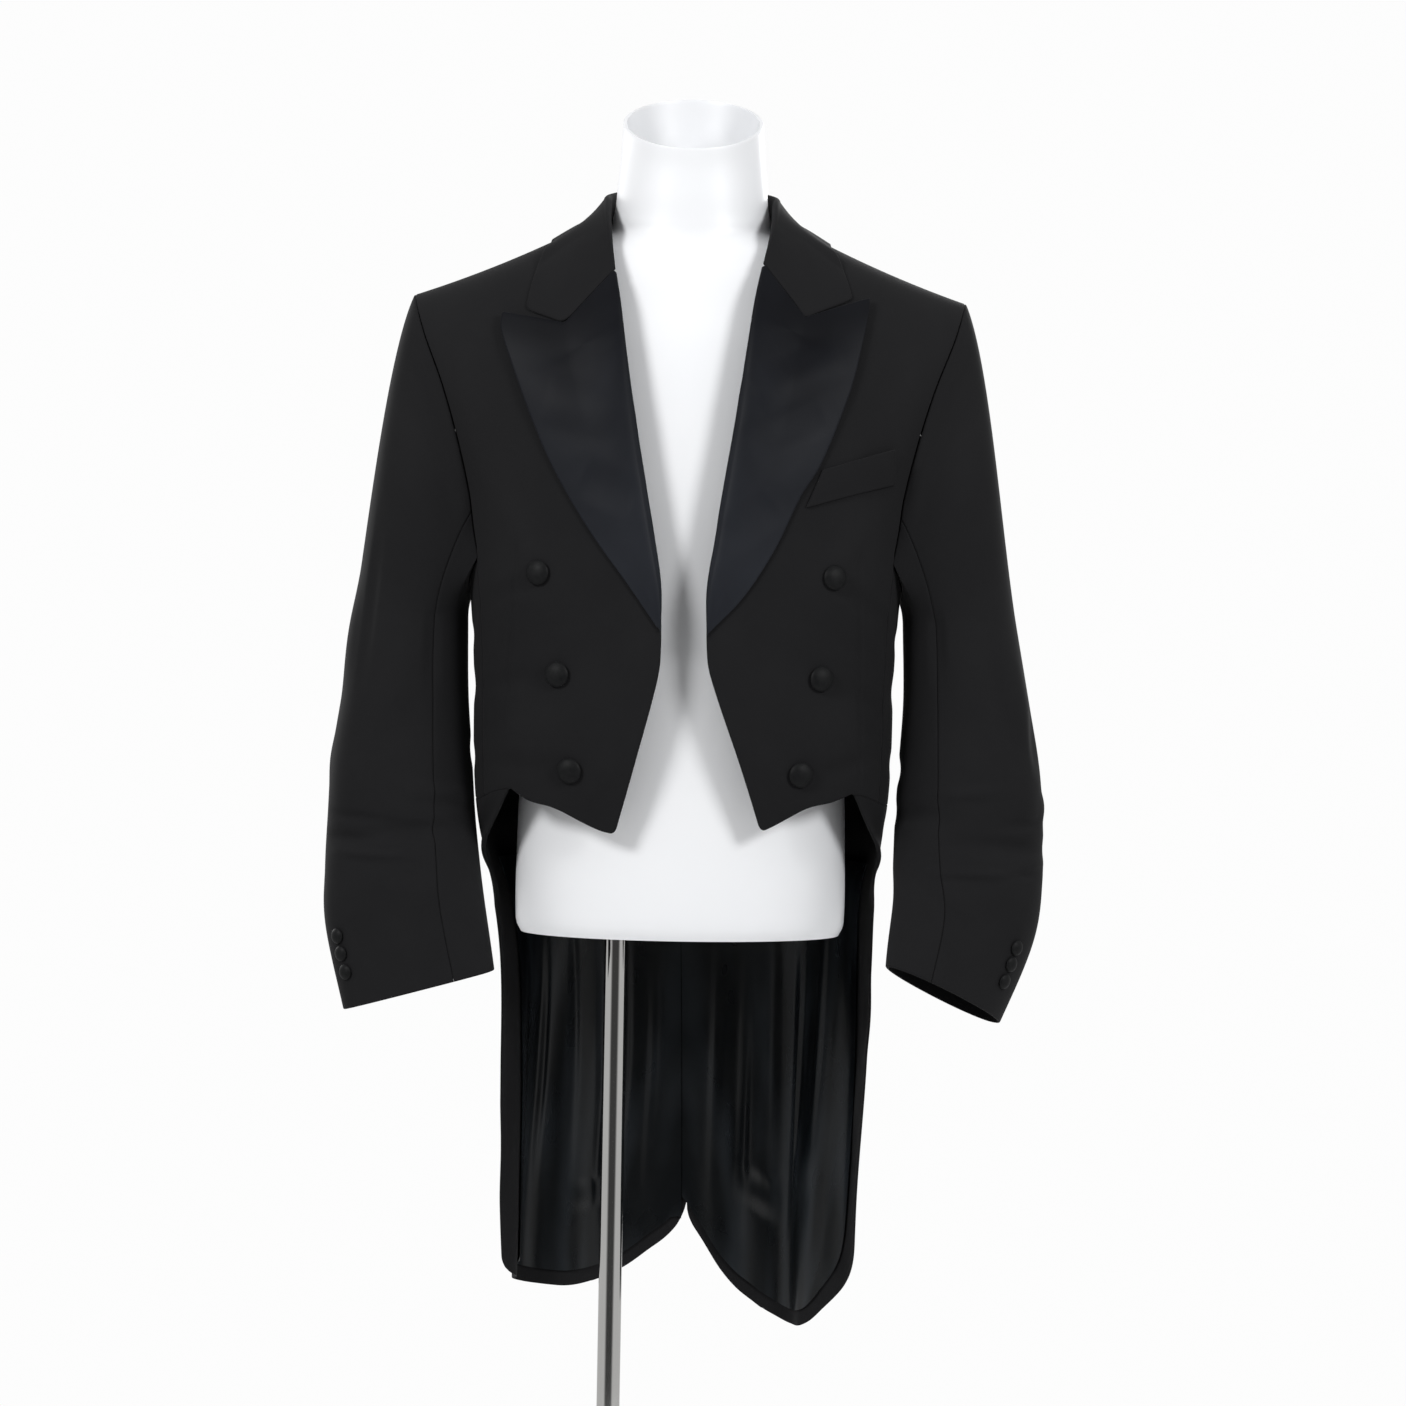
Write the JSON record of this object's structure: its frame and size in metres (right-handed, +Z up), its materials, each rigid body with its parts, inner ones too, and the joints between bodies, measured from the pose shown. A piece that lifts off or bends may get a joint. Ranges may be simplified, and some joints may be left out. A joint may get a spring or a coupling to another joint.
{
  "type": "white tie tailcoat on a limbless display form",
  "caption": "Black wool evening tailcoat with satin peak lapels, open over a white hollow torso form on a chrome pole and round base.",
  "frame": {"origin": "on the floor under the base, below the middle of the coat's fronts and back", "axes": "+Z up, +X towards the wearer's left (the viewer's right), -Y the front of the coat"},
  "size_m": [0.6163, 0.36, 1.5856],
  "materials": {
    "wool": "fine charcoal-black worsted twill with a low sheen",
    "satin": "black satin, soft slate sheen",
    "button_satin": "satin-covered domed buttons",
    "lining": "glossy blue-black lining",
    "form_plastic": "smooth white plastic, soft gloss",
    "chrome": "polished tube",
    "base_steel": "polished plate"
  },
  "bodies": {
    "root": {"collar": "wool", "breast_welt": "wool", "front_left": "wool", "front_right": "wool", "side_left": "wool", "side_right": "wool", "back_left": "wool", "back_right": "wool", "skirt_left": "wool", "skirt_right": "wool", "top_sleeve_left": "wool", "top_sleeve_right": "wool", "under_sleeve_left": "wool", "under_sleeve_right": "wool", "lapel_left": "satin", "lapel_right": "satin", "front_button_left_1": "button_satin", "front_button_left_2": "button_satin", "front_button_left_3": "button_satin", "front_button_right_1": "button_satin", "front_button_right_2": "button_satin", "front_button_right_3": "button_satin", "cuff_button_left_1": "button_satin", "cuff_button_left_2": "button_satin", "cuff_button_left_3": "button_satin", "cuff_button_right_1": "button_satin", "cuff_button_right_2": "button_satin", "cuff_button_right_3": "button_satin", "tail_lining_left": "lining", "tail_lining_right": "lining", "display_form": "form_plastic", "pole": "chrome", "base": "base_steel"}
  },
  "joints": []
}
